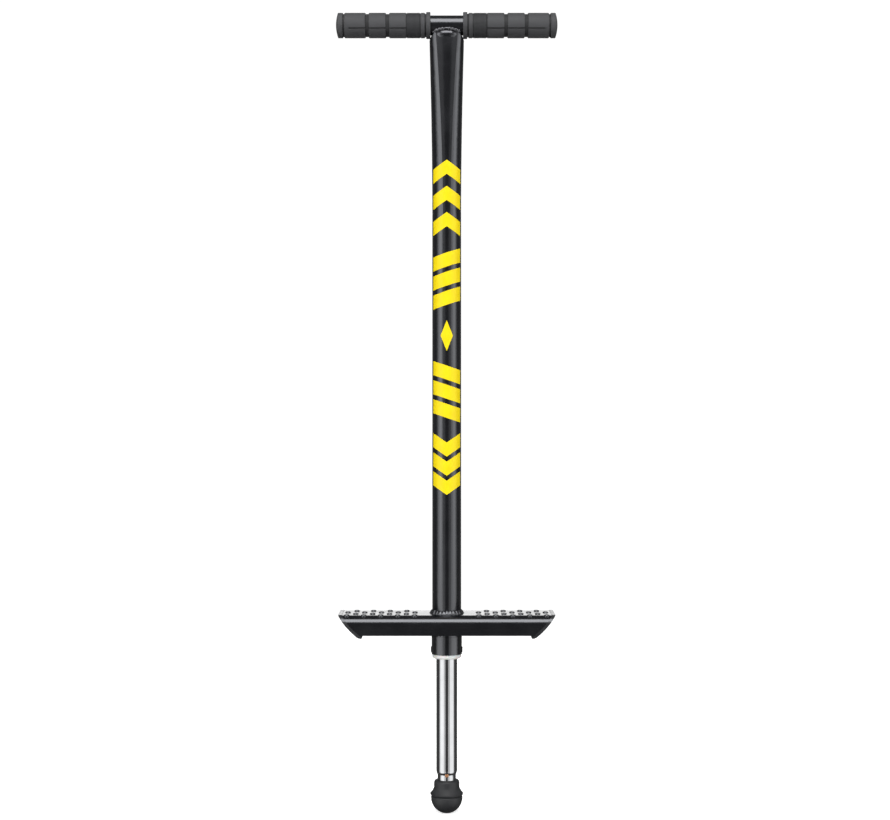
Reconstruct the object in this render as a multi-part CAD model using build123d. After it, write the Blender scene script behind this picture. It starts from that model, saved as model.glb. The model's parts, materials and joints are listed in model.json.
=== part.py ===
"""Spring pogo stick: tubular frame with handlebar and footrest, and a sprung plunger with a rubber foot.

Millimetres. The origin is the middle of the rubber foot's underside, +Z runs up the stick,
X runs along the handlebar and -Y is the side that carries the tube graphic.
"""

import os
from math import cos, hypot, pi, radians, sin, sqrt

from build123d import *

# Handlebar and grips
BAR_HEIGHT = 954.0
BAR_R = 12.0
BAR_WALL = 1.8
BAR_HALF_LENGTH = 129.5
GRIP_START = 19.8
GRIP_LENGTH = 114.4
GRIP_R = 15.1
GRIP_FLANGE_R = 16.05
GRIP_GROOVE_R = 13.65
GRIP_EDGE = 0.5
GRIP_END_BULGE = 2.4
GRIP_LANDS = (  # start and end, from the grip's inner end, radius, and radius of the groove that follows
    (0.0, 5.0, GRIP_FLANGE_R, 13.9),
    (6.6, 11.6, GRIP_R, 14.4),
    (12.4, 28.4, GRIP_R - 0.25, 14.3),
    (29.2, 49.7, GRIP_R, GRIP_GROOVE_R),
    (53.9, 74.4, GRIP_R, GRIP_GROOVE_R),
    (78.6, 103.9, GRIP_R, GRIP_GROOVE_R),
    (105.9, GRIP_LENGTH - GRIP_END_BULGE, GRIP_R, 0.0),
)
GRIP_SLOT_SPAN = (28.8, 98.6)
GRIP_SLOT_WIDTH = 1.7
GRIP_SLOT_DEPTH = 1.3
GRIP_SLOT_COUNT = 4
GRIP_SLOT_ANGLE = 24.0  # the first slot's angle below the horizontal, at the front

# Main tube
TUBE_R = 17.5
TUBE_WALL = 1.5
TUBE_BOTTOM = 192.7
SQUASH_START = 731.0
SQUASH_WIDENING = 8.0
SQUASH_POWER = 1.7
SQUASH_SECTIONS = 6
OVAL_JOINT = radians(15)  # where the flat arcs meet the side arcs, from the Y axis
COPE_TOP = BAR_HEIGHT - 5.5
COPE_TRIM = (17.4, BAR_HEIGHT - 11.0, 21.9, BAR_HEIGHT - 21.1)  # the line that trims the cope's tips
COPE_TRIM_REACH = 6.0
BAR_WELD_GROWTH = 1.5  # how far the bead stands out from the tube
BAR_WELD_INSET = 1.2  # how far it reaches into the tube's wall
BAR_WELD_REACH = 2.4  # how far it stands off the bar
BAR_WELD_HALF_WIDTH = 19.4
BAR_WELD_TOP = BAR_HEIGHT - 3.4
BAR_WELD_ROUNDING = 1.0

# Tube graphic: film shapes on the front of the tube
FILM_THICKNESS = 0.12
FILM_HALF_WIDTH = 16.2
FILM_STROKE = 17.0
FILM_SLOPE = 11.0
CHEVRONS_UP = (698.0, 729.5, 761.0)
SLANTS_UP = (609.0, 632.0, 655.0)
LOZENGE = (559.0, 596.0)
LOZENGE_HALF_WIDTH = 7.4
SLANTS_DOWN = (473.0, 496.0, 519.0)
CHEVRONS_DOWN = (386.0, 409.0, 432.0)

# Footrest
TREAD_HEIGHT = 242.2
CHANNEL_BOTTOM = 218.6
SHEET = 2.0
CHANNEL_HALF_DEPTH = 36.5
CHANNEL_LEAN = 2.2  # how far each side leans in by its lower edge
CHANNEL_EDGE_R = 11.0
END_TOP_X = 129.8
END_KNEE = (108.3, 217.4)  # where an end's long arc turns into the lip under the channel
END_TIP = (101.2, 215.2)
END_LIP_MIDDLE = (105.3, 215.6)
END_LIP = 2.5
END_LIP_ROUNDING = 0.9
END_ARC_R = 110.0
END_PLATE = 3.6
END_PROUD = 0.5  # how far an end plate stands out from the folded sheet all round
HOLE_COLUMNS = 9
HOLE_FIRST_X = 38.5
HOLE_PITCH = 10.15
HOLE_ROW_STEP = 15.0
HOLE_ROWS_MIDDLE = -5.0  # the rows sit a little towards the front
HOLE_R = 2.3
HOLE_RIM_R = 3.4
HOLE_RIM_TOP_R = 2.85
HOLE_RIM_HEIGHT = 1.2
TREAD_WELD_R = 21.3
TREAD_WELD_TOP = TREAD_HEIGHT + 7.0
TREAD_WELD_WAIST = (TUBE_R + 1.7, TREAD_HEIGHT + 3.0)

# Lower sleeve, bushing and screws
SLEEVE_R = 18.4
SLEEVE_TOP = 214.5
SLEEVE_WELD_TOP = 219.0
SLEEVE_WELD_WAIST = (TUBE_R + 0.75, SLEEVE_TOP + 2.6)
BUSHING_FLANGE_R = 17.5
BUSHING_FLANGE = 4.9
BUSHING_TOP = 250.0
BUSHING_CLEARANCE = 0.05
BUSHING_LIP = 1.3
BUSHING_LIP_STEP = 0.6
BUSHING_CHAMFER = 1.0
SCREW_HEIGHT = 198.0
SCREW_R = 2.0
SCREW_HEAD_R = 3.5
SCREW_HEAD = 0.8
SCREW_HEAD_ROUNDING = 0.5
SCREW_RECESS = (1.2, 3.6, 0.9)  # depth, length and width of each slot of the cross
SCREW_TIP_X = 13.7
BUMPER = 12.0
BUMPER_GAP = 0.1
BUMPER_BORE_GAP = 0.5
BUMPER_GROOVE_R = 2.0
BUMPER_GROOVE_DEPTH = 0.8

# Plunger
SHAFT_R = 12.7
SHAFT_WALL = 1.6
NECK_R = 11.1
NECK_TOP = 45.0
TAPER_TOP = 52.0
SHAFT_BOTTOM = 16.5
FOOT_WASHER = 2.5
PLUG_TOP = 60.0
PLUG_CLEARANCE = 0.02
FOOT_PIN_R = 2.25
FOOT_PIN_HEIGHT = 47.0
FOOT_PIN_HALF_LENGTH = 12.0
FOOT_PIN_CHAMFER = 0.3
REST_GAP = 0.3  # between parts of different bodies that meet when the spring is at rest
HEAD_R = 15.7
HEAD_BOTTOM = BUSHING_TOP + BUMPER + REST_GAP
HEAD_TOP = HEAD_BOTTOM + 22.0
HEAD_CAP = 5.0
HEAD_CHAMFER = 0.8
PISTON_PIN_R = 3.0
PISTON_PIN_HEIGHT = HEAD_BOTTOM + 8.0
PISTON_PIN_INSET = 0.4
WASHER = 2.0
WASHER_BORE_R = 7.0

# Spring
SPRING_BOTTOM = HEAD_TOP + REST_GAP + WASHER + 0.2
SPRING_LENGTH = 310.0
SPRING_TOP = SPRING_BOTTOM + SPRING_LENGTH
SPRING_WIRE_R = 2.25
SPRING_MEAN_R = 12.25
SPRING_COILS = 39.5
SPRING_END_INSET = 0.9  # the end coils are ground flat past the wire's middle by the rest of its radius
STOP_THICKNESS = 12.0
STOP_BORE_R = 5.0

# Rubber foot
FOOT_DOME_R = 19.0
FOOT_PATCH_R = 3.5
FOOT_GROOVE_R = 18.3
FOOT_RIM_R = 20.0
FOOT_RIM_HEIGHT = 23.9
FOOT_RIM_EDGE = (0.25, 1.1)
FOOT_SHOULDER = (17.3, 27.2)
FOOT_DOME_LIP = 19.7
FOOT_GROOVE_HEIGHT = 20.8
FOOT_COLLAR_R = 15.35
FOOT_COLLAR_BOTTOM = 31.2
FOOT_COLLAR_TOP = 37.5
FOOT_TOP = 40.4
FOOT_LIP = (14.2, 39.5)
FOOT_LIP_WIDTH = 0.9


def ring(outer_r, inner_r, bottom, top):
    """An upright ring, or a disc where inner_r is 0."""
    section = Circle(outer_r)
    if inner_r:
        section -= Circle(inner_r)
    return extrude(Pos(0, 0, bottom) * section, top - bottom)


def turned(*edges):
    """A body turned about the stick's axis from a closed outline drawn as radius against height."""
    return revolve(Plane.XZ * make_face(edges), Axis.Z)


def lying_cylinder(radius, start, end, direction, height=0.0):
    """A cylinder along X or Y through the stick's axis, from start to end."""
    plane = Plane(origin=direction * start + Vector(0, 0, height), z_dir=direction)
    return extrude(plane * Circle(radius), end - start)


def oval_radii(height):
    """Half width, side arc radius and flat arc radius of the tube, whose perimeter stays the round tube's."""
    rise = max(0.0, height - SQUASH_START) / (BAR_HEIGHT - SQUASH_START)
    half_width = TUBE_R + SQUASH_WIDENING / 2 * rise**SQUASH_POWER
    quarter = TUBE_R * pi / 2
    share = sin(OVAL_JOINT)
    side_turn = pi / 2 - OVAL_JOINT - OVAL_JOINT * (1 - share) / share
    side_r = (quarter - half_width * OVAL_JOINT / share) / side_turn
    flat_r = (half_width - side_r * (1 - share)) / share
    return half_width, side_r, flat_r


def oval_edges(height, offset=0.0):
    """The tube's outline at a height as four tangent arcs, grown by offset."""
    half_width, side_r, flat_r = oval_radii(height)
    half_depth = flat_r - (flat_r - side_r) * cos(OVAL_JOINT)
    joint_x = half_width - side_r + (side_r + offset) * sin(OVAL_JOINT)
    joint_y = (side_r + offset) * cos(OVAL_JOINT)
    wide, deep = half_width + offset, half_depth + offset
    return (
        ThreePointArc((-joint_x, -joint_y), (0, -deep), (joint_x, -joint_y)),
        ThreePointArc((joint_x, -joint_y), (wide, 0), (joint_x, joint_y)),
        ThreePointArc((joint_x, joint_y), (0, deep), (-joint_x, joint_y)),
        ThreePointArc((-joint_x, joint_y), (-wide, 0), (-joint_x, -joint_y)),
    )


def tube_core(offset, bottom=TUBE_BOTTOM):
    """The solid inside the tube's outer surface, grown by offset: round, then squashed near the handlebar."""
    step = (BAR_HEIGHT - SQUASH_START) / SQUASH_SECTIONS
    heights = [SQUASH_START - step / 2] + [SQUASH_START + i * step for i in range(SQUASH_SECTIONS + 1)]
    sections = [Pos(0, 0, height) * make_face(oval_edges(height, offset)) for height in heights]
    return ring(TUBE_R + offset, 0, bottom, heights[0]) + loft(sections)


def cope_trim():
    """Wedges that trim the coped tips of the tube clear of the grips."""
    near_x, near_z, far_x, far_z = COPE_TRIM
    out_x, top = far_x + COPE_TRIM_REACH, BAR_HEIGHT
    corners = [(near_x, near_z), (near_x, top), (out_x, top), (out_x, far_z), (far_x, far_z)]
    right = extrude(Plane.XZ * make_face(Polyline(*corners, close=True)), 2 * TUBE_R, both=True)
    return right + mirror(right, Plane.YZ)


def screw_holes(radius):
    """Cutters for the two side screws."""
    return lying_cylinder(radius, -2 * TUBE_R, 2 * TUBE_R, Vector(1, 0, 0), SCREW_HEIGHT)


def main_tube():
    tube = tube_core(0.0) - tube_core(-TUBE_WALL)
    tube -= lying_cylinder(BAR_R, -BAR_HALF_LENGTH, BAR_HALF_LENGTH, Vector(1, 0, 0), BAR_HEIGHT)
    tube -= ring(2 * TUBE_R, 0, COPE_TOP, BAR_HEIGHT + BAR_R)
    return tube - cope_trim() - screw_holes(SCREW_R)


def handlebar_tube():
    outer = lying_cylinder(BAR_R, -BAR_HALF_LENGTH, BAR_HALF_LENGTH, Vector(1, 0, 0), BAR_HEIGHT)
    inner = lying_cylinder(BAR_R - BAR_WALL, -BAR_HALF_LENGTH, BAR_HALF_LENGTH, Vector(1, 0, 0), BAR_HEIGHT)
    return outer - inner


def handlebar_weld():
    """The beads on the front and back of the coped joint: they follow the tube's outline and hug the bar."""
    bottom = BAR_HEIGHT - 2 * BAR_R
    height = BAR_WELD_TOP - bottom
    outer = extrude(Pos(0, 0, bottom) * make_face(oval_edges(BAR_HEIGHT, BAR_WELD_GROWTH)), height)
    inner = extrude(Pos(0, 0, bottom) * make_face(oval_edges(BAR_HEIGHT, -BAR_WELD_INSET)), height)
    half_width, hug_r = BAR_WELD_HALF_WIDTH, BAR_R + BAR_WELD_REACH
    blank = outer & lying_cylinder(hug_r, -half_width, half_width, Vector(1, 0, 0), BAR_HEIGHT)
    outer_edges = [
        edge
        for edge in blank.edges()
        if abs(edge.center().X) < half_width - BAR_WELD_ROUNDING / 2
        and edge.center().Z < BAR_WELD_TOP - BAR_WELD_ROUNDING / 2
    ]
    rounded = fillet(outer_edges, BAR_WELD_ROUNDING)
    bar = lying_cylinder(BAR_R, -BAR_HALF_LENGTH, BAR_HALF_LENGTH, Vector(1, 0, 0), BAR_HEIGHT)
    return rounded - inner - bar


def grip(side):
    """A moulded grip with a closed, bulged outer end. side is 1 for +X and -1 for -X."""
    outline = []
    groove_r = BAR_R
    for start, end, radius, next_groove_r in GRIP_LANDS:
        outline += [(start, groove_r), (start, radius - GRIP_EDGE), (start + GRIP_EDGE, radius)]
        outline += [(end - GRIP_EDGE, radius), (end, radius - GRIP_EDGE)]
        groove_r = next_groove_r
        if end < GRIP_LENGTH - GRIP_END_BULGE:
            outline.append((end, groove_r))
    end_r = outline[-1][1]
    bulge_r = (end_r**2 + GRIP_END_BULGE**2) / (2 * GRIP_END_BULGE)
    halfway = (GRIP_LENGTH - bulge_r + sqrt(bulge_r**2 - end_r**2 / 4), end_r / 2)
    bar_end = BAR_HALF_LENGTH - GRIP_START
    section = make_face(
        [
            *Polyline(*outline).edges(),
            ThreePointArc(outline[-1], halfway, (GRIP_LENGTH, 0)),
            *Polyline((GRIP_LENGTH, 0), (bar_end, 0), (bar_end, BAR_R), (0, BAR_R)).edges(),
        ]
    )
    body = revolve(section, Axis.X)
    start, end = GRIP_SLOT_SPAN
    slot = Pos((start + end) / 2, 0, -GRIP_R) * Box(end - start, GRIP_SLOT_WIDTH, 2 * GRIP_SLOT_DEPTH)
    for i in range(GRIP_SLOT_COUNT):
        body -= Rot(GRIP_SLOT_ANGLE - 90 + i * 360 / GRIP_SLOT_COUNT, 0, 0) * slot
    body = Pos(GRIP_START, 0, BAR_HEIGHT) * body
    return body if side > 0 else mirror(body, Plane.YZ)


def channel_section(inset, bottom):
    """The footrest's section across Y: a flat top, rounded long edges and sides that lean in."""
    top_y, top = CHANNEL_HALF_DEPTH - inset, TREAD_HEIGHT - inset
    lean = CHANNEL_LEAN / (TREAD_HEIGHT - CHANNEL_BOTTOM)
    low_y = top_y - lean * (top - bottom)
    outline = make_face(Polyline((-low_y, bottom), (-top_y, top), (top_y, top), (low_y, bottom), close=True))
    upper = outline.vertices().sort_by(Axis.Y)[-2:]
    return fillet(upper, CHANNEL_EDGE_R - inset)


def channel_bar(inset, bottom):
    """The footrest section carried along X, well past both ends."""
    return extrude(Plane.YZ * channel_section(inset, bottom), 2 * END_TOP_X, both=True)


def end_arc_centre():
    """Centre, in X and Z, of the arc that an end plate's outer face follows."""
    knee_x, knee_z = END_KNEE
    chord_x, chord_z = END_TOP_X - knee_x, TREAD_HEIGHT - knee_z
    chord = hypot(chord_x, chord_z)
    reach = sqrt(END_ARC_R**2 - chord**2 / 4)
    middle_x, middle_z = (END_TOP_X + knee_x) / 2, (TREAD_HEIGHT + knee_z) / 2
    return middle_x - reach * chord_z / chord, middle_z + reach * chord_x / chord


def end_arc_at_height(radius, height):
    """The point on the end arc of this radius at a height."""
    centre_x, centre_z = end_arc_centre()
    return centre_x + sqrt(radius**2 - (height - centre_z) ** 2), height


def end_arc(radius, start, finish):
    """The arc of this radius about the end arc's centre, between two points on it."""
    centre_x, centre_z = end_arc_centre()
    out_x = (start[0] + finish[0]) / 2 - centre_x
    out_z = (start[1] + finish[1]) / 2 - centre_z
    reach = radius / hypot(out_x, out_z)
    return ThreePointArc(start, (centre_x + reach * out_x, centre_z + reach * out_z), finish)


def across(section):
    """A shape drawn in X and Z, carried along Y past both sides of the footrest."""
    return extrude(Plane.XZ * section, 2 * CHANNEL_HALF_DEPTH, both=True)


def tread_hole_places():
    """X and Y of every grip hole: columns along each side, with alternate columns staggered."""
    places = []
    for column in range(HOLE_COLUMNS):
        x = HOLE_FIRST_X + column * HOLE_PITCH
        first_y = HOLE_ROWS_MIDDLE - (1.5 if column % 2 == 0 else 0.5) * HOLE_ROW_STEP
        for y in (first_y, first_y + 2 * HOLE_ROW_STEP):
            places += [(x, y), (-x, y)]
    return places


def foot_channel():
    """Folded sheet, open underneath, with the tube's bevelled hole and raised, punched grip holes."""
    inner_r = END_ARC_R - END_PLATE
    low = end_arc_at_height(inner_r, CHANNEL_BOTTOM - 1)
    high = end_arc_at_height(inner_r, TREAD_HEIGHT + 1)
    right = end_arc(inner_r, low, high)
    left = mirror(right, Plane.YZ)
    bottom_line = Line((-low[0], low[1]), low)
    top_line = Line(high, (-high[0], high[1]))
    between_plates = across(make_face([bottom_line, right, top_line, left]))
    channel = (channel_bar(0.0, CHANNEL_BOTTOM) - channel_bar(SHEET, CHANNEL_BOTTOM - 1)) & between_plates
    underside = TREAD_HEIGHT - SHEET
    rim_top = TREAD_HEIGHT + HOLE_RIM_HEIGHT
    rim_foot, rim_crest = (HOLE_RIM_R, TREAD_HEIGHT), (HOLE_RIM_TOP_R, rim_top)
    rim_corners = [(0, underside), (HOLE_RIM_R, underside), rim_foot, rim_crest, (0, rim_top)]
    rim = turned(*Polyline(*rim_corners, close=True).edges())
    hole = ring(HOLE_R, 0, underside - SHEET, rim_top + SHEET)
    rims = [Pos(x, y, 0) * rim for x, y in tread_hole_places()]
    holes = [Pos(x, y, 0) * hole for x, y in tread_hole_places()]
    bevel_corners = [(0, underside), (TUBE_R, underside), (TREAD_WELD_R, TREAD_HEIGHT), (0, TREAD_HEIGHT)]
    return channel + rims - holes - turned(*Polyline(*bevel_corners, close=True).edges())


def foot_end_plate(side):
    """A curved plate that closes one slanted end of the footrest, with a lip that turns in under it."""
    inner_r = END_ARC_R - END_PLATE
    outer_top = end_arc_at_height(END_ARC_R, TREAD_HEIGHT + END_PROUD)
    inner_top = end_arc_at_height(inner_r, TREAD_HEIGHT + END_PROUD)
    inner_knee = end_arc_at_height(inner_r, CHANNEL_BOTTOM)
    tip_x, tip_z = END_TIP
    inner_tip = (tip_x, tip_z + END_LIP)
    band = make_face(
        [
            ThreePointArc(END_TIP, END_LIP_MIDDLE, END_KNEE),
            end_arc(END_ARC_R, END_KNEE, outer_top),
            Line(outer_top, inner_top),
            end_arc(inner_r, inner_top, inner_knee),
            Line(inner_knee, inner_tip),
            Line(inner_tip, END_TIP),
        ]
    )
    band = fillet(band.vertices().sort_by(Axis.X)[:2], END_LIP_ROUNDING)
    plate = channel_bar(-END_PROUD, tip_z - END_PLATE) & across(band)
    return plate if side > 0 else mirror(plate, Plane.YZ)


def footrest_weld():
    """The weld that fills the bevel in the footrest and climbs the tube."""
    return turned(
        Line((TUBE_R, TREAD_HEIGHT - SHEET), (TREAD_WELD_R, TREAD_HEIGHT)),
        ThreePointArc((TREAD_WELD_R, TREAD_HEIGHT), TREAD_WELD_WAIST, (TUBE_R, TREAD_WELD_TOP)),
        Line((TUBE_R, TREAD_WELD_TOP), (TUBE_R, TREAD_HEIGHT - SHEET)),
    )


def lower_sleeve():
    return ring(SLEEVE_R, TUBE_R, TUBE_BOTTOM, SLEEVE_TOP) - screw_holes(SCREW_R)


def sleeve_weld():
    """The weld between the sleeve's upper edge and the tube."""
    return turned(
        Line((TUBE_R, SLEEVE_TOP), (SLEEVE_R, SLEEVE_TOP)),
        ThreePointArc((SLEEVE_R, SLEEVE_TOP), SLEEVE_WELD_WAIST, (TUBE_R, SLEEVE_WELD_TOP)),
        Line((TUBE_R, SLEEVE_WELD_TOP), (TUBE_R, SLEEVE_TOP)),
    )


def guide_bushing():
    """Nylon bushing that the shaft runs in, with a stepped flange under the sleeve."""
    bore = SHAFT_R + BUSHING_CLEARANCE
    fit_r = TUBE_R - TUBE_WALL
    low = TUBE_BOTTOM - BUSHING_FLANGE
    body = turned(
        Polyline(
            (bore, low),
            (BUSHING_FLANGE_R - 2 * BUSHING_LIP_STEP, low),
            (BUSHING_FLANGE_R - BUSHING_LIP_STEP, low + BUSHING_LIP),
            (BUSHING_FLANGE_R, low + BUSHING_LIP),
            (BUSHING_FLANGE_R, TUBE_BOTTOM),
            (fit_r, TUBE_BOTTOM),
            (fit_r, BUSHING_TOP - BUSHING_CHAMFER),
            (fit_r - BUSHING_CHAMFER, BUSHING_TOP),
            (bore, BUSHING_TOP),
            close=True,
        )
    )
    pilot = lying_cylinder(SCREW_R, SCREW_TIP_X, 2 * TUBE_R, Vector(1, 0, 0), SCREW_HEIGHT)
    return body - pilot - mirror(pilot, Plane.YZ)


def bushing_screws():
    """Two pan-head screws, one on each side, with cross recesses."""
    face_x = SLEEVE_R + SCREW_HEAD
    depth, length, width = SCREW_RECESS
    shank = lying_cylinder(SCREW_R, SCREW_TIP_X, SLEEVE_R, Vector(1, 0, 0), SCREW_HEIGHT)
    head = lying_cylinder(SCREW_HEAD_R, TUBE_R, face_x, Vector(1, 0, 0), SCREW_HEIGHT)
    rim = head.edges().filter_by(GeomType.CIRCLE).sort_by(Axis.X)[-1]
    head = fillet(rim, SCREW_HEAD_ROUNDING) - ring(SLEEVE_R, 0, TUBE_BOTTOM, SLEEVE_TOP)
    cross = Pos(face_x, 0, SCREW_HEIGHT) * (Box(depth, length, width) + Box(depth, width, length))
    right = shank + head - cross
    return Compound(children=[right, mirror(right, Plane.YZ)])


def rebound_bumper():
    """Rubber ring, grooved round its waist, that cushions the piston head when the shaft springs back out."""
    outer, inner = TUBE_R - TUBE_WALL - BUMPER_GAP, SHAFT_R + BUMPER_BORE_GAP
    groove = Torus(outer + BUMPER_GROOVE_R - BUMPER_GROOVE_DEPTH, BUMPER_GROOVE_R)
    body = ring(outer, inner, BUSHING_TOP, BUSHING_TOP + BUMPER)
    return body - Pos(0, 0, BUSHING_TOP + BUMPER / 2) * groove


def upper_spring_washer():
    return ring(HEAD_R, WASHER_BORE_R, SPRING_TOP, SPRING_TOP + WASHER)


def upper_spring_stop():
    """Steel plug that is welded in the tube and takes the spring's upper end."""
    low = SPRING_TOP + WASHER
    return ring(TUBE_R - TUBE_WALL, STOP_BORE_R, low, low + STOP_THICKNESS)


def main_spring():
    """Compression spring with ground ends."""
    height = SPRING_LENGTH - 2 * SPRING_END_INSET
    path = Helix(pitch=height / SPRING_COILS, height=height, radius=SPRING_MEAN_R)
    coil = sweep(Plane(origin=path @ 0, z_dir=path % 0) * Circle(SPRING_WIRE_R), path=path, is_frenet=True)
    coil = Pos(0, 0, SPRING_BOTTOM + SPRING_END_INSET) * coil
    return coil & ring(TUBE_R, 0, SPRING_BOTTOM, SPRING_TOP)


def thrust_washer():
    return ring(HEAD_R - 0.2, WASHER_BORE_R, HEAD_TOP + REST_GAP, HEAD_TOP + REST_GAP + WASHER)


def piston_head():
    """Steel cap on the top of the shaft: too wide to pass the bumper, so it keeps the shaft in the tube."""
    body = turned(
        Polyline(
            (SHAFT_R, HEAD_BOTTOM),
            (HEAD_R - HEAD_CHAMFER, HEAD_BOTTOM),
            (HEAD_R, HEAD_BOTTOM + HEAD_CHAMFER),
            (HEAD_R, HEAD_TOP - HEAD_CHAMFER),
            (HEAD_R - HEAD_CHAMFER, HEAD_TOP),
            (0, HEAD_TOP),
            (0, HEAD_TOP - HEAD_CAP),
            (SHAFT_R, HEAD_TOP - HEAD_CAP),
            close=True,
        )
    )
    return body - lying_cylinder(PISTON_PIN_R, -2 * HEAD_R, 2 * HEAD_R, Vector(1, 0, 0), PISTON_PIN_HEIGHT)


def piston_pin():
    reach = HEAD_R - PISTON_PIN_INSET
    return lying_cylinder(PISTON_PIN_R, -reach, reach, Vector(1, 0, 0), PISTON_PIN_HEIGHT)


def shaft_profile(inset):
    """Edges of the shaft's wall from its necked bottom to its top, moved inwards by inset."""
    neck, full = NECK_R - inset, SHAFT_R - inset
    middle = ((neck + full) / 2, (NECK_TOP + TAPER_TOP) / 2)
    shaft_top = HEAD_TOP - HEAD_CAP
    return (
        Line((neck, SHAFT_BOTTOM), (neck, NECK_TOP)),
        Spline((neck, NECK_TOP), middle, (full, TAPER_TOP), tangents=((0, 1), (0, 1))),
        Line((full, TAPER_TOP), (full, shaft_top)),
    )


def plunger_shaft():
    """Chromed tube whose lower end is necked down for the rubber foot."""
    shaft_top = HEAD_TOP - HEAD_CAP
    shaft = turned(
        *shaft_profile(0.0),
        Line((SHAFT_R, shaft_top), (SHAFT_R - SHAFT_WALL, shaft_top)),
        *shaft_profile(SHAFT_WALL),
        Line((NECK_R - SHAFT_WALL, SHAFT_BOTTOM), (NECK_R, SHAFT_BOTTOM)),
    )
    shaft -= lying_cylinder(PISTON_PIN_R, -2 * SHAFT_R, 2 * SHAFT_R, Vector(1, 0, 0), PISTON_PIN_HEIGHT)
    return shaft - lying_cylinder(FOOT_PIN_R, -2 * SHAFT_R, 2 * SHAFT_R, Vector(0, 1, 0), FOOT_PIN_HEIGHT)


def shaft_plug():
    """Steel slug in the necked end, which the foot pin goes through."""
    plug = ring(NECK_R - SHAFT_WALL - PLUG_CLEARANCE, 0, SHAFT_BOTTOM, PLUG_TOP)
    return plug - lying_cylinder(FOOT_PIN_R, -2 * SHAFT_R, 2 * SHAFT_R, Vector(0, 1, 0), FOOT_PIN_HEIGHT)


def foot_pin():
    reach = FOOT_PIN_HALF_LENGTH
    pin = lying_cylinder(FOOT_PIN_R, -reach, reach, Vector(0, 1, 0), FOOT_PIN_HEIGHT)
    return chamfer(pin.edges().filter_by(GeomType.CIRCLE), FOOT_PIN_CHAMFER)


def foot_washer():
    return ring(NECK_R - 0.1, 0, SHAFT_BOTTOM - FOOT_WASHER, SHAFT_BOTTOM)


def rubber_foot():
    """Rubber foot: a dome with a small flat patch, a groove, a rim, and a collar that grips the neck."""
    centre = sqrt(FOOT_DOME_R**2 - FOOT_PATCH_R**2)
    halfway = FOOT_DOME_R * sqrt(0.5)
    dome = ThreePointArc((FOOT_PATCH_R, 0), (halfway, centre - halfway), (FOOT_DOME_R, centre))
    rim = (FOOT_RIM_R, FOOT_RIM_HEIGHT)
    rim_edge = (FOOT_RIM_R - FOOT_RIM_EDGE[0], FOOT_RIM_HEIGHT - FOOT_RIM_EDGE[1])
    collar_low, collar_high = (FOOT_COLLAR_R, FOOT_COLLAR_BOTTOM), (FOOT_COLLAR_R, FOOT_COLLAR_TOP)
    lip_end = (NECK_R + FOOT_LIP_WIDTH, FOOT_TOP)
    pocket = SHAFT_BOTTOM - FOOT_WASHER
    dome_lip, groove = (FOOT_DOME_R, FOOT_DOME_LIP), (FOOT_GROOVE_R, FOOT_GROOVE_HEIGHT)
    dome_to_rim = Polyline((FOOT_DOME_R, centre), dome_lip, groove, rim_edge, rim)
    inside = Polyline(lip_end, (NECK_R, FOOT_TOP), (NECK_R, pocket), (0, pocket), (0, 0), (FOOT_PATCH_R, 0))
    return turned(
        dome,
        *dome_to_rim.edges(),
        ThreePointArc(rim, FOOT_SHOULDER, collar_low),
        Line(collar_low, collar_high),
        ThreePointArc(collar_high, FOOT_LIP, lip_end),
        *inside.edges(),
    )


def chevron(start, slope):
    """A V-shaped stripe across the tube's front, which points up where slope is positive."""
    wide, tall = FILM_HALF_WIDTH, FILM_STROKE
    low, high = (start, start + slope) if slope > 0 else (start - slope, start)
    return [(-wide, low), (0, high), (wide, low), (wide, low + tall), (0, high + tall), (-wide, low + tall)]


def slant(start, slope):
    """A slanted stripe across the tube's front."""
    wide, tall = FILM_HALF_WIDTH, FILM_STROKE
    left, right = (start, start + slope) if slope > 0 else (start - slope, start)
    return [(-wide, left), (wide, right), (wide, right + tall), (-wide, left + tall)]


def film_outlines():
    """Outlines, in X and Z, of the graphic's generic shapes."""
    shapes = [chevron(start, FILM_SLOPE) for start in CHEVRONS_UP]
    shapes += [slant(start, FILM_SLOPE) for start in SLANTS_UP]
    shapes += [slant(start, -FILM_SLOPE) for start in SLANTS_DOWN]
    shapes += [chevron(start, -FILM_SLOPE) for start in CHEVRONS_DOWN]
    low, high = LOZENGE
    half, middle = LOZENGE_HALF_WIDTH, (low + high) / 2
    return shapes + [[(0, low), (half, middle), (0, high), (-half, middle)]]


def tube_graphic():
    """Thin film shapes that lie on the front of the tube."""
    bottom = CHEVRONS_DOWN[0] - FILM_STROKE
    skin = tube_core(FILM_THICKNESS, bottom) - tube_core(0.0, bottom)
    pieces = []
    for outline in film_outlines():
        stamp = extrude(Plane.XZ * make_face(Polyline(*outline, close=True)), 2 * TUBE_R)
        pieces.append(skin & stamp)
    return Compound(children=pieces)


PARTS = {
    "main_tube": main_tube,
    "handlebar_tube": handlebar_tube,
    "handlebar_weld": handlebar_weld,
    "grip_left": lambda: grip(-1),
    "grip_right": lambda: grip(1),
    "foot_channel": foot_channel,
    "foot_end_plate_left": lambda: foot_end_plate(-1),
    "foot_end_plate_right": lambda: foot_end_plate(1),
    "footrest_weld": footrest_weld,
    "lower_sleeve": lower_sleeve,
    "sleeve_weld": sleeve_weld,
    "guide_bushing": guide_bushing,
    "bushing_screws": bushing_screws,
    "rebound_bumper": rebound_bumper,
    "upper_spring_washer": upper_spring_washer,
    "upper_spring_stop": upper_spring_stop,
    "main_spring": main_spring,
    "thrust_washer": thrust_washer,
    "piston_head": piston_head,
    "piston_pin": piston_pin,
    "plunger_shaft": plunger_shaft,
    "shaft_plug": shaft_plug,
    "foot_pin": foot_pin,
    "foot_washer": foot_washer,
    "rubber_foot": rubber_foot,
    "tube_graphic": tube_graphic,
}

os.makedirs("parts", exist_ok=True)
for name, build in PARTS.items():
    export_step(build(), f"parts/{name}.step")
    print(name)
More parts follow.
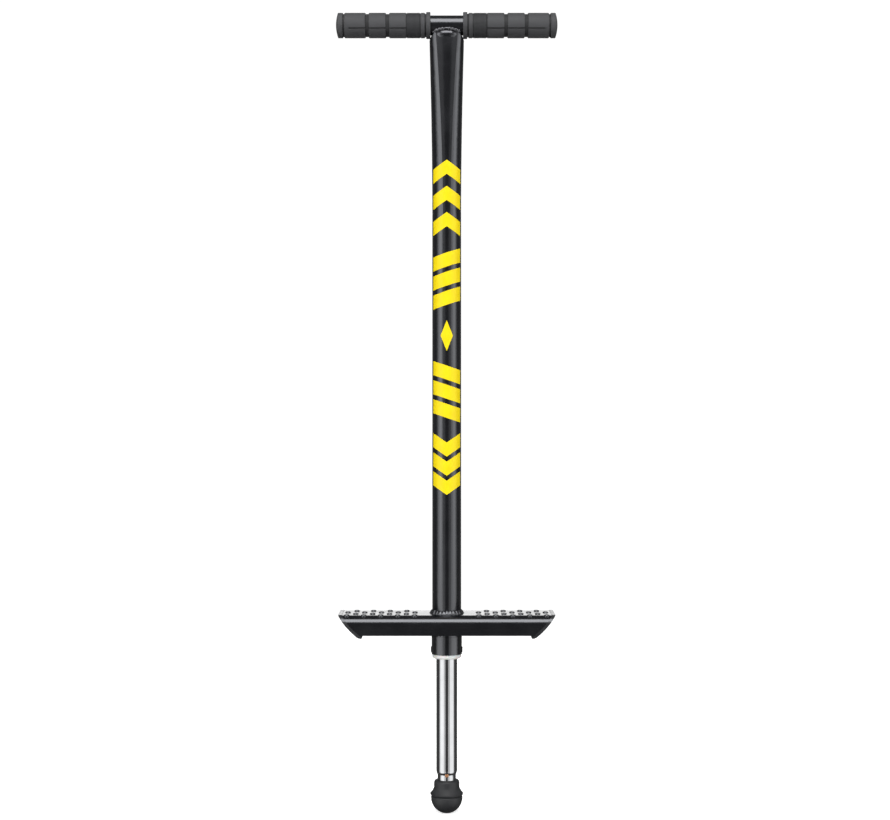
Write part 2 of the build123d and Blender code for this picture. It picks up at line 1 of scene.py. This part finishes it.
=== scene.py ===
"""Studio scene of a spring pogo stick: finishes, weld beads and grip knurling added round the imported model.

Metres. Z runs up the stick, X along the handlebar, and the camera looks along +Y.
"""

import json
import math
import random

import bmesh
import bpy
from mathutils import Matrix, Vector

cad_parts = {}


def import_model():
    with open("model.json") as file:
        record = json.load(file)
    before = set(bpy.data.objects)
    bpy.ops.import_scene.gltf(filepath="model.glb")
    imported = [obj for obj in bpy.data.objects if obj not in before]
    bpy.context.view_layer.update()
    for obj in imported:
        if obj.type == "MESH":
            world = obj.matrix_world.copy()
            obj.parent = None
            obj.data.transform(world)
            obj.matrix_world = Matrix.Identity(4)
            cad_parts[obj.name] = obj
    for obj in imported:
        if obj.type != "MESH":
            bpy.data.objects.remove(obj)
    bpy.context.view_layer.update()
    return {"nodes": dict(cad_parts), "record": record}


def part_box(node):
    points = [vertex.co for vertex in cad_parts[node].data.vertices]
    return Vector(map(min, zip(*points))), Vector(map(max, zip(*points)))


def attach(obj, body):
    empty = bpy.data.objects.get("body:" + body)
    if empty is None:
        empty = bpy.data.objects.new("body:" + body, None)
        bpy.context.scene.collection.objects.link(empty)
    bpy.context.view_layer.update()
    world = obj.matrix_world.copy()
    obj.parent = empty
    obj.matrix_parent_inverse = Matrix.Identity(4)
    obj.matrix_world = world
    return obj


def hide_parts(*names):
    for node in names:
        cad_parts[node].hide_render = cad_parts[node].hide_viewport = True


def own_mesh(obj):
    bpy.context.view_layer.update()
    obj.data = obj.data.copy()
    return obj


MM = 0.001

# Camera
CAMERA_DISTANCE = 2.038
CAMERA_HEIGHT = 0.488
CAMERA_X = -0.0021
LENS = 68.0
SENSOR = 36.0

# Studio light: a softbox is (name, azimuth from the camera's side, elevation, distance, width, height,
# radiance), with its angles in degrees and aimed at AIM_HEIGHT on the stick's axis.
AIM_HEIGHT = 0.3
SOFTBOXES = (
    ("sheet_left", -49, 0, 2.3, 3.4, 4.4, 0.6),
    ("sheet_right", 52, 0, 2.3, 3.4, 4.4, 0.6),
    ("panel_left", -53, 0, 2.1, 1.6, 4.0, 1.9),
    ("panel_right", 57, 0, 2.1, 1.6, 4.0, 1.6),
    ("strip_left", -50, 23, 2.1, 0.8, 2.3, 1.7),
    ("strip_right", 61, 23, 2.1, 0.8, 2.3, 1.3),
    ("softbox_top", 0, 55, 4.5, 3.0, 3.0, 9.0),
    ("softbox_back", 180, 9, 3.4, 0.8, 1.3, 1.6),
    ("table_left", -51, -28, 2.4, 3.3, 1.6, 1.3),
    ("table_right", 53, -28, 2.4, 3.3, 1.6, 1.3),
)
WORLD_SEEN = 1.05
WORLD_REFLECTED = 0.17
WORLD_AMBIENT = 0.08
FLOOR_HALF = 1.9
FLOOR_COLOUR = (0.9, 0.9, 0.9)
FLOOR_GLOW = 0.7

# Finishes
PAINT_TINT = (0.93, 0.95, 1.0, 1.0)  # the blue cast of the enamel's reflections
# painted light: the end plates get a greyer copy of the black enamel that stands in for the light they catch
LIGHTENED_FINISH = {"foot_end_plate_left": "lightened_edge_paint", "foot_end_plate_right": "lightened_edge_paint"}
# Painted shade: this dark colour laid on the floors of the grips' slots stands in for shade, not dirt
SLOT_SHADE = (0.006, 0.0062, 0.007)
SLOT_SHADE_R = 14.2 * MM  # the grips get the full painted shade inside this radius, and none outside the next
SLOT_UNSHADED_R = 15.05 * MM

# Ripples of every weld
RIPPLE_PITCH = 4.2 * MM
RIPPLE_DEPTH = 0.9 * MM
RIPPLE_LOW = 0.75  # height factor at the start of each ripple; it rises to 1 by the ripple's end
STEPS_PER_RIPPLE = 7
BEAD_SIDES = 14

# Beads on the handlebar joint
BEAD_RADIUS = 2.4 * MM
BEAD_SEED = 11
BEAD_WANDER = 0.25  # uneven size of the ripples, as a share of the bead's radius
BEAD_END = 0.15  # how blunt a bead's ends are
BEAD_SET_BACK = 0.7  # share of the radius by which the bead's middle lies inside the CAD weld's face
BEAD_OVAL_POWER = 2.4  # how square the squashed tube's outline is
BEAD_TUCK = 0.9  # how far down the bar's curve the bead sits

# Lips: the smooth, curled-in end of the tube under each of those beads
LIP_RADIUS = 7.0 * MM
LIP_INSET = 5.1 * MM
LIP_DROP = 6.3 * MM
LIP_HALF_WIDTH = 11.5 * MM
LIP_SINK = 4.0 * MM  # how far each lip's ends curve back into the tube
LIP_SINK_POWER = 4  # keeps that curve near the ends

# Fillet welds round the tube
FOOTREST_BEAD_SEED = 13
SLEEVE_BEAD_SEED = 11
RING_WANDER = 0.25 * MM  # uneven size of the ripples
RING_RISE = 0.75  # height as a share of the CAD weld's
RING_POWER = 1.3  # 1 gives a quarter round, and more gives a flatter face
RING_ROOT = 1.0 * MM  # how far the weld reaches into the tube's wall

# Knurling on the grips
KNURL_START = 12.4 * MM  # from the grip's inner end
KNURL_END = 28.4 * MM
KNURL_BASE_R = 14.8 * MM
KNURL_TOP_R = 15.1 * MM
KNURL_ROWS = 11
KNURL_COLUMNS = 64
KNURL_GAP = 0.28  # share of each cell left as a groove


# ---------------------------------------------------------------- node helpers


def add(material, kind, inputs=None, **settings):
    """Adds a node, sets its attributes from settings and its sockets from inputs."""
    node = material.node_tree.nodes.new(kind)
    for key, value in settings.items():
        setattr(node, key, value)
    for key, value in (inputs or {}).items():
        if isinstance(value, bpy.types.NodeSocket):
            material.node_tree.links.new(value, node.inputs[key])
        else:
            node.inputs[key].default_value = value
    return node


def new_material(name, **sockets):
    """A node material, with constants set on its shader's own sockets."""
    material = bpy.data.materials.new(name)
    material.use_nodes = True
    shader = material.node_tree.nodes["Principled BSDF"]
    for key, value in sockets.items():
        shader.inputs[key.replace("_", " ")].default_value = value
    return material


def wire(material, socket, name):
    """Links a socket to one of the material's shader sockets."""
    shader = material.node_tree.nodes["Principled BSDF"]
    material.node_tree.links.new(socket, shader.inputs[name])


def place(material, scale=(1.0, 1.0, 1.0)):
    """The piece's own coordinates in metres, stretched by scale."""
    source = add(material, "ShaderNodeTexCoord")
    mapping = add(material, "ShaderNodeMapping", {"Vector": source.outputs["Object"], "Scale": scale})
    return mapping.outputs["Vector"]


def noise(material, vector, scale, detail=3.0, roughness=0.55):
    inputs = {"Vector": vector, "Scale": scale, "Detail": detail, "Roughness": roughness}
    return add(material, "ShaderNodeTexNoise", inputs).outputs["Fac"]


def cells(material, vector, scale, randomness=1.0):
    inputs = {"Vector": vector, "Scale": scale, "Randomness": randomness}
    return add(material, "ShaderNodeTexVoronoi", inputs).outputs["Distance"]


def spread(material, value, low, high, start=0.3, end=0.7):
    """Maps a value running from start to end onto low to high."""
    inputs = {"Value": value, "From Min": start, "From Max": end, "To Min": low, "To Max": high}
    return add(material, "ShaderNodeMapRange", inputs).outputs["Result"]


def shades(material, value, *stops):
    """A colour ramp through (position, colour) stops."""
    ramp = add(material, "ShaderNodeValToRGB", {"Fac": value})
    elements = ramp.color_ramp.elements
    while len(elements) < len(stops):
        elements.new(0.5)
    for element, (position, colour) in zip(elements, stops):
        element.position = position
        element.color = (*colour, 1.0)
    return ramp.outputs["Color"]


def bump(material, height, distance, strength=1.0, under=None):
    """A bump from a height, laid over an earlier bump if there is one."""
    inputs = {"Height": height, "Distance": distance, "Strength": strength}
    if under is not None:
        inputs["Normal"] = under
    return add(material, "ShaderNodeBump", inputs).outputs["Normal"]


# ------------------------------------------------------------------- materials


def black_paint():
    """Gloss black enamel with orange peel, specks of dust and a little uneven gloss."""
    material = new_material("black_paint", Specular_IOR_Level=0.55, Specular_Tint=PAINT_TINT)
    spots = place(material)
    cloud = noise(material, spots, 38.0, 4.0)
    specks = cells(material, spots, 900.0)
    wire(
        material,
        shades(material, cloud, (0.3, (0.0018, 0.0019, 0.0026)), (0.7, (0.0034, 0.0035, 0.0044))),
        "Base Color",
    )
    wire(material, spread(material, cloud, 0.17, 0.23), "Roughness")
    peel = bump(material, noise(material, spots, 420.0, 2.0), 0.00003, 0.5)
    dust = spread(material, specks, 1.0, 0.0, 0.0, 0.12)
    wire(material, bump(material, dust, 0.00002, 0.3, peel), "Normal")
    return material


def lightened_edge_paint():
    """The enamel on the curled end plates of the footrest: duller than on the flat faces, and greyer as
    painted light for the extra light the plates catch.
    """
    material = new_material("lightened_edge_paint", Specular_IOR_Level=0.5, Specular_Tint=PAINT_TINT)
    spots = place(material)
    cloud = noise(material, spots, 60.0, 4.0)
    wire(
        material,
        # a greyer base colour than the black enamel's: painted light on the end plates
        shades(material, cloud, (0.3, (0.012, 0.0122, 0.013)), (0.7, (0.018, 0.0182, 0.019))),
        "Base Color",
    )
    wire(material, spread(material, cloud, 0.20, 0.28), "Roughness")
    wire(material, bump(material, noise(material, spots, 500.0, 3.0), 0.00003, 0.4), "Normal")
    return material


def weld_paint():
    """The same enamel over a weld, with burnt grey flecks between its ripples."""
    material = new_material("weld_paint", Specular_IOR_Level=0.7, Specular_Tint=PAINT_TINT)
    spots = place(material)
    flecks = noise(material, spots, 620.0, 5.0, 0.7)
    wire(
        material,
        shades(material, flecks, (0.55, (0.002, 0.002, 0.0025)), (0.80, (0.022, 0.022, 0.024))),
        "Base Color",
    )
    wire(material, spread(material, flecks, 0.12, 0.26), "Roughness")
    wire(material, bump(material, flecks, 0.0001, 0.6), "Normal")
    return material


def groove_shade(material):
    """Painted shade mask: 0 on the grips' outside, rising to 1 on the floors of their slots."""
    low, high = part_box("grip_left")
    source = add(material, "ShaderNodeTexCoord")
    bar_z = (low.z + high.z) / 2
    inputs = {"Vector": source.outputs["Object"], "Location": (0, 0, -bar_z), "Scale": (0, 1, 1)}
    across = add(material, "ShaderNodeMapping", inputs).outputs["Vector"]
    radius = add(material, "ShaderNodeVectorMath", {"Vector": across}, operation="LENGTH").outputs["Value"]
    return spread(material, radius, 1.0, 0.0, SLOT_SHADE_R, SLOT_UNSHADED_R)


def grip_rubber():
    """Matt moulded rubber with a fine grain and a dry bloom, with painted shade down in its slots."""
    material = new_material("grip_rubber", Specular_IOR_Level=0.32, Sheen_Weight=0.07, Sheen_Roughness=0.5)
    spots = place(material)
    bloom = noise(material, spots, 55.0, 5.0, 0.6)
    grain = noise(material, spots, 1900.0, 2.0)
    unshaded = shades(material, bloom, (0.3, (0.021, 0.0214, 0.0232)), (0.72, (0.029, 0.0295, 0.0318)))
    # the slot floors get the painted shade colour, and the rest keeps the rubber's own colour
    inputs = {"Fac": groove_shade(material), "Color1": unshaded, "Color2": (*SLOT_SHADE, 1.0)}
    wire(material, add(material, "ShaderNodeMixRGB", inputs).outputs["Color"], "Base Color")
    wire(material, spread(material, bloom, 0.62, 0.78), "Roughness")
    wire(material, bump(material, grain, 0.00008, 0.5), "Normal")
    return material


def knurl_rubber():
    """The grip's rubber where the knurling keeps it darker."""
    material = new_material("knurl_rubber", Specular_IOR_Level=0.25)
    spots = place(material)
    grain = noise(material, spots, 1500.0, 3.0)
    wire(
        material,
        shades(material, grain, (0.3, (0.006, 0.0063, 0.0072)), (0.7, (0.010, 0.0104, 0.0117))),
        "Base Color",
    )
    wire(material, spread(material, grain, 0.7, 0.85), "Roughness")
    wire(material, bump(material, grain, 0.00006, 0.4), "Normal")
    return material


def foot_rubber():
    """Hard black rubber with mould flow marks and fine pits."""
    material = new_material("foot_rubber", Specular_IOR_Level=0.25)
    spots = place(material)
    flow = noise(material, place(material, (1.0, 1.0, 3.5)), 60.0, 5.0, 0.6)
    pits = cells(material, spots, 1300.0)
    wire(
        material,
        shades(material, flow, (0.3, (0.008, 0.0083, 0.0092)), (0.7, (0.0125, 0.013, 0.0142))),
        "Base Color",
    )
    wire(material, spread(material, flow, 0.50, 0.66), "Roughness")
    wire(material, bump(material, pits, 0.00005, 0.5), "Normal")
    return material


def bumper_rubber():
    """Soft brown-black buffer rubber."""
    material = new_material("bumper_rubber", Specular_IOR_Level=0.3)
    grain = noise(material, place(material), 700.0, 4.0)
    wire(
        material,
        shades(material, grain, (0.3, (0.020, 0.016, 0.013)), (0.7, (0.034, 0.028, 0.023))),
        "Base Color",
    )
    wire(material, spread(material, grain, 0.65, 0.85), "Roughness")
    wire(material, bump(material, grain, 0.00008, 0.5), "Normal")
    return material


def nylon():
    """White engineering nylon, slightly translucent, with turning marks."""
    material = new_material("nylon", Subsurface_Weight=0.15, Subsurface_Scale=0.002, Specular_IOR_Level=0.45)
    cloud = noise(material, place(material), 90.0, 3.0)
    marks = noise(material, place(material, (20.0, 20.0, 2600.0)), 1.0, 2.0)
    wire(
        material,
        shades(material, cloud, (0.3, (0.47, 0.465, 0.45)), (0.7, (0.53, 0.525, 0.51))),
        "Base Color",
    )
    wire(material, spread(material, cloud, 0.40, 0.52), "Roughness")
    wire(material, bump(material, marks, 0.00002, 0.4), "Normal")
    return material


def metal(name, dark, light, smooth, rough, mark_scale, mark_depth, stretch):
    """A bare metal whose tint and gloss follow its tool marks."""
    material = new_material(name, Metallic=1.0)
    marks = noise(material, place(material, stretch), mark_scale, 4.0, 0.6)
    haze = noise(material, place(material), 45.0, 3.0)
    wire(material, shades(material, haze, (0.3, dark), (0.7, light)), "Base Color")
    wire(material, spread(material, marks, smooth, rough), "Roughness")
    wire(material, bump(material, marks, mark_depth, 0.35), "Normal")
    return material


def chrome_plate():
    dark, light = (0.205, 0.208, 0.212), (0.235, 0.238, 0.242)
    return metal("chrome_plate", dark, light, 0.05, 0.11, 260.0, 0.000004, (1.0, 1.0, 0.03))


def plain_steel():
    dark, light = (0.42, 0.42, 0.42), (0.55, 0.55, 0.56)
    return metal("plain_steel", dark, light, 0.22, 0.40, 900.0, 0.00002, (1.0, 1.0, 1.0))


def spring_steel():
    dark, light = (0.24, 0.24, 0.25), (0.34, 0.34, 0.36)
    return metal("spring_steel", dark, light, 0.25, 0.45, 500.0, 0.00003, (1.0, 1.0, 2.0))


def dark_steel():
    dark, light = (0.045, 0.045, 0.048), (0.08, 0.08, 0.085)
    return metal("dark_steel", dark, light, 0.30, 0.45, 800.0, 0.00002, (1.0, 1.0, 1.0))


def copper_pin():
    dark, light = (0.50, 0.24, 0.12), (0.66, 0.34, 0.18)
    return metal("copper_pin", dark, light, 0.28, 0.42, 900.0, 0.00003, (1.0, 1.0, 1.0))


def yellow_film():
    """Cut vinyl film under a clear layer."""
    material = new_material("yellow_film", Specular_IOR_Level=0.15, Coat_Weight=0.03, Coat_Roughness=0.25)
    spots = place(material)
    cloud = noise(material, spots, 70.0, 3.0)
    wire(
        material,
        shades(material, cloud, (0.3, (0.52, 0.40, 0.0010)), (0.7, (0.56, 0.44, 0.002))),
        "Base Color",
    )
    wire(material, spread(material, cloud, 0.42, 0.55), "Roughness")
    wire(material, bump(material, noise(material, spots, 500.0, 2.0), 0.00002, 0.3), "Normal")
    return material


def floor_material():
    """Pale studio paper."""
    sockets = {"Roughness": 0.9, "Specular_IOR_Level": 0.1, "Emission_Strength": FLOOR_GLOW}
    material = new_material("studio_paper", **sockets)
    tint = noise(material, place(material), 3.0, 2.0)
    low = tuple(0.98 * c for c in FLOOR_COLOUR)
    paper = shades(material, tint, (0.3, low), (0.7, FLOOR_COLOUR))
    wire(material, paper, "Base Color")
    wire(material, paper, "Emission Color")
    return material


# ---------------------------------------------------------------- mesh helpers


def mesh_object(name, verts, faces, material, body, smooth=True):
    """A piece of the object, made of faces, riding on a body."""
    mesh = bpy.data.meshes.new(name)
    mesh.from_pydata([tuple(v) for v in verts], [], faces)
    tidy = bmesh.new()
    tidy.from_mesh(mesh)
    bmesh.ops.recalc_face_normals(tidy, faces=tidy.faces)
    tidy.to_mesh(mesh)
    tidy.free()
    for polygon in mesh.polygons:
        polygon.use_smooth = smooth
    mesh.materials.append(material)
    piece = bpy.data.objects.new(name, mesh)
    bpy.context.scene.collection.objects.link(piece)
    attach(piece, body)
    return piece


def skin(rings, closed):
    """Faces that join a row of point rings: closed makes a loop of them, otherwise their ends are capped."""
    sides = len(rings[0])
    verts = [point for points in rings for point in points]
    faces = []
    for i in range(len(rings) if closed else len(rings) - 1):
        near, far = i * sides, (i + 1) % len(rings) * sides
        for j in range(sides):
            k = (j + 1) % sides
            faces.append((near + j, near + k, far + k, far + j))
    if not closed:
        faces.append(tuple(range(sides)))
        faces.append(tuple(len(verts) - sides + j for j in range(sides)))
    return verts, faces


def ripple(along):
    """Height share of a weld's overlapping scallops at a distance along the bead."""
    step = (along / RIPPLE_PITCH) % 1.0
    return math.sqrt(max(0.0, 1.0 - (2.0 * step - 1.0) ** 2)) * (RIPPLE_LOW + (1.0 - RIPPLE_LOW) * step)


def bead_rings(path, radius, depth, dice):
    """Round sections along a path, rippled to a depth like a run of weld and tapered at its ends."""
    rings = []
    along = 0.0
    wander = [dice.uniform(-1.0, 1.0) for _ in range(len(path) // STEPS_PER_RIPPLE + 2)]
    for i, point in enumerate(path):
        before = path[max(i - 1, 0)]
        after = path[min(i + 1, len(path) - 1)]
        along += (point - before).length
        tangent = (after - before).normalized()
        side = tangent.cross(Vector((0, 0, 1))).normalized()
        up = side.cross(tangent)
        blob = 1.0 + (BEAD_WANDER * wander[i // STEPS_PER_RIPPLE] if depth else 0.0)
        size = (radius - depth + depth * ripple(along)) * blob
        end_share = min(i, len(path) - 1 - i) / (2 * STEPS_PER_RIPPLE)
        size *= math.sqrt(min(1.0, BEAD_END + end_share))
        turns = [2 * math.pi * j / BEAD_SIDES for j in range(BEAD_SIDES)]
        rings.append([point + side * size * math.cos(t) + up * size * math.sin(t) for t in turns])
    return rings


# ---------------------------------------------------------------------- pieces


def joint_path(facing, reach):
    """Points along the joint between the bar and the squashed end of the tube, out to reach on each side."""
    bar_low, bar_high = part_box("handlebar_tube")
    bar_z, bar_r = (bar_low.z + bar_high.z) / 2, (bar_high.z - bar_low.z) / 2
    oval_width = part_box("main_tube")[1].x
    oval_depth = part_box("handlebar_weld")[1].y - BEAD_SET_BACK * BEAD_RADIUS
    steps = int(math.pi * reach / RIPPLE_PITCH) * STEPS_PER_RIPPLE
    path = []
    for i in range(steps + 1):
        x = reach * math.cos(math.pi * i / steps)
        share = 1.0 - (abs(x) / oval_width) ** BEAD_OVAL_POWER
        y = facing * oval_depth * share ** (1.0 / BEAD_OVAL_POWER)
        path.append(Vector((x, y, bar_z - math.sqrt(bar_r**2 - (BEAD_TUCK * y) ** 2))))
    return path


def joint_rods(name, paths, radius, depth, material):
    """Rods along paths, rippled to a depth, as one piece of the frame."""
    dice = random.Random(BEAD_SEED)
    verts, faces = [], []
    for path in paths:
        more, joined = skin(bead_rings(path, radius, depth, dice), closed=False)
        faces += [tuple(i + len(verts) for i in face) for face in joined]
        verts += more
    return mesh_object(name, verts, faces, material, "frame")


def handlebar_beads(material):
    """Rippled beads on the front and back of the joint between the tube and the bar."""
    half_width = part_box("handlebar_weld")[1].x - BEAD_RADIUS
    paths = [joint_path(facing, half_width) for facing in (-1, 1)]
    piece = joint_rods("handlebar_beads", paths, BEAD_RADIUS, RIPPLE_DEPTH, material)
    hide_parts("handlebar_weld")


def tube_lips(material):
    """The smooth swellings where the tube's squashed end curls in under the beads."""
    paths = []
    for facing in (-1, 1):
        path = joint_path(facing, LIP_HALF_WIDTH)
        for point in path:
            point.y -= facing * (LIP_INSET + LIP_SINK * (point.x / LIP_HALF_WIDTH) ** LIP_SINK_POWER)
            point.z -= LIP_DROP
        paths.append(path)
    joint_rods("tube_lips", paths, LIP_RADIUS, 0.0, material)


def round_bead(name, node, tube_r, upwards, seed, material):
    """A rippled fillet weld round the tube: it stands for a CAD weld ring."""
    low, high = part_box(node)
    dice = random.Random(seed)
    foot_z, far_z = (low.z, high.z) if upwards else (high.z, low.z)
    reach, rise = high.x - tube_r, (far_z - foot_z) * RING_RISE
    ripples = round(2 * math.pi * tube_r / RIPPLE_PITCH)
    steps = ripples * STEPS_PER_RIPPLE
    wander = [dice.uniform(-1.0, 1.0) for _ in range(ripples)]
    rings = []
    for i in range(steps):
        angle = 2 * math.pi * i / steps
        out = Vector((math.cos(angle), math.sin(angle), 0))
        scallop = RIPPLE_DEPTH * (ripple(i * RIPPLE_PITCH / STEPS_PER_RIPPLE) - 1.0)
        scallop += RING_WANDER * wander[i // STEPS_PER_RIPPLE]
        points = [out * (tube_r - RING_ROOT) + Vector((0, 0, foot_z))]
        for j in range(BEAD_SIDES):
            turn = math.pi / 2 * j / (BEAD_SIDES - 1)
            swell = 1.0 + scallop / reach
            radius = tube_r + reach * abs(math.cos(turn)) ** RING_POWER * swell
            height = rise * math.sin(turn) ** RING_POWER * swell
            points.append(out * radius + Vector((0, 0, foot_z + height)))
        points.append(out * (tube_r - RING_ROOT) + Vector((0, 0, foot_z + rise)))
        rings.append(points)
    verts, faces = skin(rings, closed=True)
    piece = mesh_object(name, verts, faces, material, "frame")
    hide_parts(node)


def knurl(name, node, material):
    """A band of small pads round a grip."""
    low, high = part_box(node)
    bar_z = (low.z + high.z) / 2
    side = 1 if high.x > 0 else -1
    inner_x = low.x if side > 0 else high.x
    row_width = (KNURL_END - KNURL_START) / KNURL_ROWS
    turn = 2 * math.pi / KNURL_COLUMNS
    verts, faces = [], []
    for row in range(KNURL_ROWS):
        for column in range(KNURL_COLUMNS):
            start = len(verts)
            for radius, inset in ((KNURL_BASE_R, KNURL_GAP / 2), (KNURL_TOP_R, KNURL_GAP)):
                for u, v in ((inset, inset), (1 - inset, inset), (1 - inset, 1 - inset), (inset, 1 - inset)):
                    x = inner_x + side * (KNURL_START + (row + u) * row_width)
                    angle = (column + v) * turn
                    verts.append((x, radius * math.cos(angle), bar_z + radius * math.sin(angle)))
            faces.append(tuple(start + i for i in (0, 1, 2, 3)))
            faces.append(tuple(start + i for i in (7, 6, 5, 4)))
            for i in range(4):
                k = (i + 1) % 4
                faces.append((start + i, start + 4 + i, start + 4 + k, start + k))
    mesh_object(name, verts, faces, material, "frame", smooth=False)


def finish_nodes(materials):
    """Gives every CAD node the material of its slot in the record, or, for the footrest's end plates, a
    greyer copy of the enamel that paints in their light.
    """
    for entry in frame["record"]["subparts"]:
        node = frame["nodes"][entry["node"]]
        material = materials[LIGHTENED_FINISH.get(entry["node"], entry["material_slot"])]
        if not node.data.materials:
            node.data.materials.append(material)
        for held in node.material_slots:
            held.material = material


def compress_spring():
    """Gives the spring its own copy of its mesh; the mesh is left as it is."""
    spring = frame["nodes"]["main_spring"]
    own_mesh(spring)


# ---------------------------------------------------------------------- studio


def floor():
    """A wide sheet of paper under the rubber foot; glossy surfaces don't mirror it."""
    mesh = bpy.data.meshes.new("studio_floor")
    corners = [(-FLOOR_HALF, -FLOOR_HALF, 0), (FLOOR_HALF, -FLOOR_HALF, 0)]
    corners += [(FLOOR_HALF, FLOOR_HALF, 0), (-FLOOR_HALF, FLOOR_HALF, 0)]
    mesh.from_pydata(corners, [], [(0, 1, 2, 3)])
    mesh.materials.append(floor_material())
    sheet = bpy.data.objects.new("studio_floor", mesh)
    bpy.context.scene.collection.objects.link(sheet)
    sheet.visible_glossy = False
    sheet.visible_diffuse = False


def softbox(name, azimuth, elevation, distance, width, height, radiance):
    """An area light that faces the stick, hidden from the camera but seen in reflections."""
    light = bpy.data.lights.new(name, "AREA")
    light.shape = "RECTANGLE"
    light.size = width
    light.size_y = height
    light.energy = radiance * math.pi * width * height
    lamp = bpy.data.objects.new(name, light)
    a, e = math.radians(azimuth), math.radians(elevation)
    outward = Vector((math.sin(a) * math.cos(e), -math.cos(a) * math.cos(e), math.sin(e)))
    lamp.location = Vector((0, 0, AIM_HEIGHT)) + outward * distance
    lamp.rotation_mode = "QUATERNION"
    lamp.rotation_quaternion = outward.to_track_quat("Z", "Y")
    lamp.visible_camera = False
    bpy.context.scene.collection.objects.link(lamp)


def world():
    """White paper to the camera, a dim room in reflections, and an even fill on matt surfaces."""
    room = bpy.data.worlds.new("studio")
    bpy.context.scene.world = room
    room.use_nodes = True
    tree = room.node_tree
    background = tree.nodes["Background"]
    path = tree.nodes.new("ShaderNodeLightPath")
    reflected = tree.nodes.new("ShaderNodeMix")
    reflected.inputs["A"].default_value = WORLD_AMBIENT
    reflected.inputs["B"].default_value = WORLD_REFLECTED
    tree.links.new(path.outputs["Is Glossy Ray"], reflected.inputs["Factor"])
    seen = tree.nodes.new("ShaderNodeMix")
    seen.inputs["B"].default_value = WORLD_SEEN
    tree.links.new(reflected.outputs["Result"], seen.inputs["A"])
    tree.links.new(path.outputs["Is Camera Ray"], seen.inputs["Factor"])
    background.inputs["Color"].default_value = (1.0, 1.0, 1.0, 1.0)
    tree.links.new(seen.outputs["Result"], background.inputs["Strength"])


def camera():
    data = bpy.data.cameras.new("camera")
    data.lens = LENS
    data.sensor_width = SENSOR
    data.clip_end = 100.0
    view = bpy.data.objects.new("camera", data)
    view.location = (CAMERA_X, -CAMERA_DISTANCE, CAMERA_HEIGHT)
    view.rotation_euler = (math.pi / 2, 0, 0)
    bpy.context.scene.collection.objects.link(view)
    bpy.context.scene.camera = view


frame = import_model()

makers = (
    black_paint,
    lightened_edge_paint,
    grip_rubber,
    foot_rubber,
    bumper_rubber,
    nylon,
    chrome_plate,
    plain_steel,
    spring_steel,
    dark_steel,
    copper_pin,
    yellow_film,
)
finishes = {maker.__name__: maker() for maker in makers}
finish_nodes(finishes)
compress_spring()

bead_paint = weld_paint()
tube_low, tube_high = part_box("main_tube")
tube_radius = (tube_high.y - tube_low.y) / 2
handlebar_beads(bead_paint)
tube_lips(finishes["black_paint"])
round_bead("footrest_bead", "footrest_weld", tube_radius, True, FOOTREST_BEAD_SEED, bead_paint)
round_bead("sleeve_bead", "sleeve_weld", tube_radius, False, SLEEVE_BEAD_SEED, bead_paint)
knurled = knurl_rubber()
knurl("grip_knurl_left", "grip_left", knurled)
knurl("grip_knurl_right", "grip_right", knurled)

floor()
world()
for box in SOFTBOXES:
    softbox(*box)
camera()
bpy.context.scene.view_settings.view_transform = "Standard"
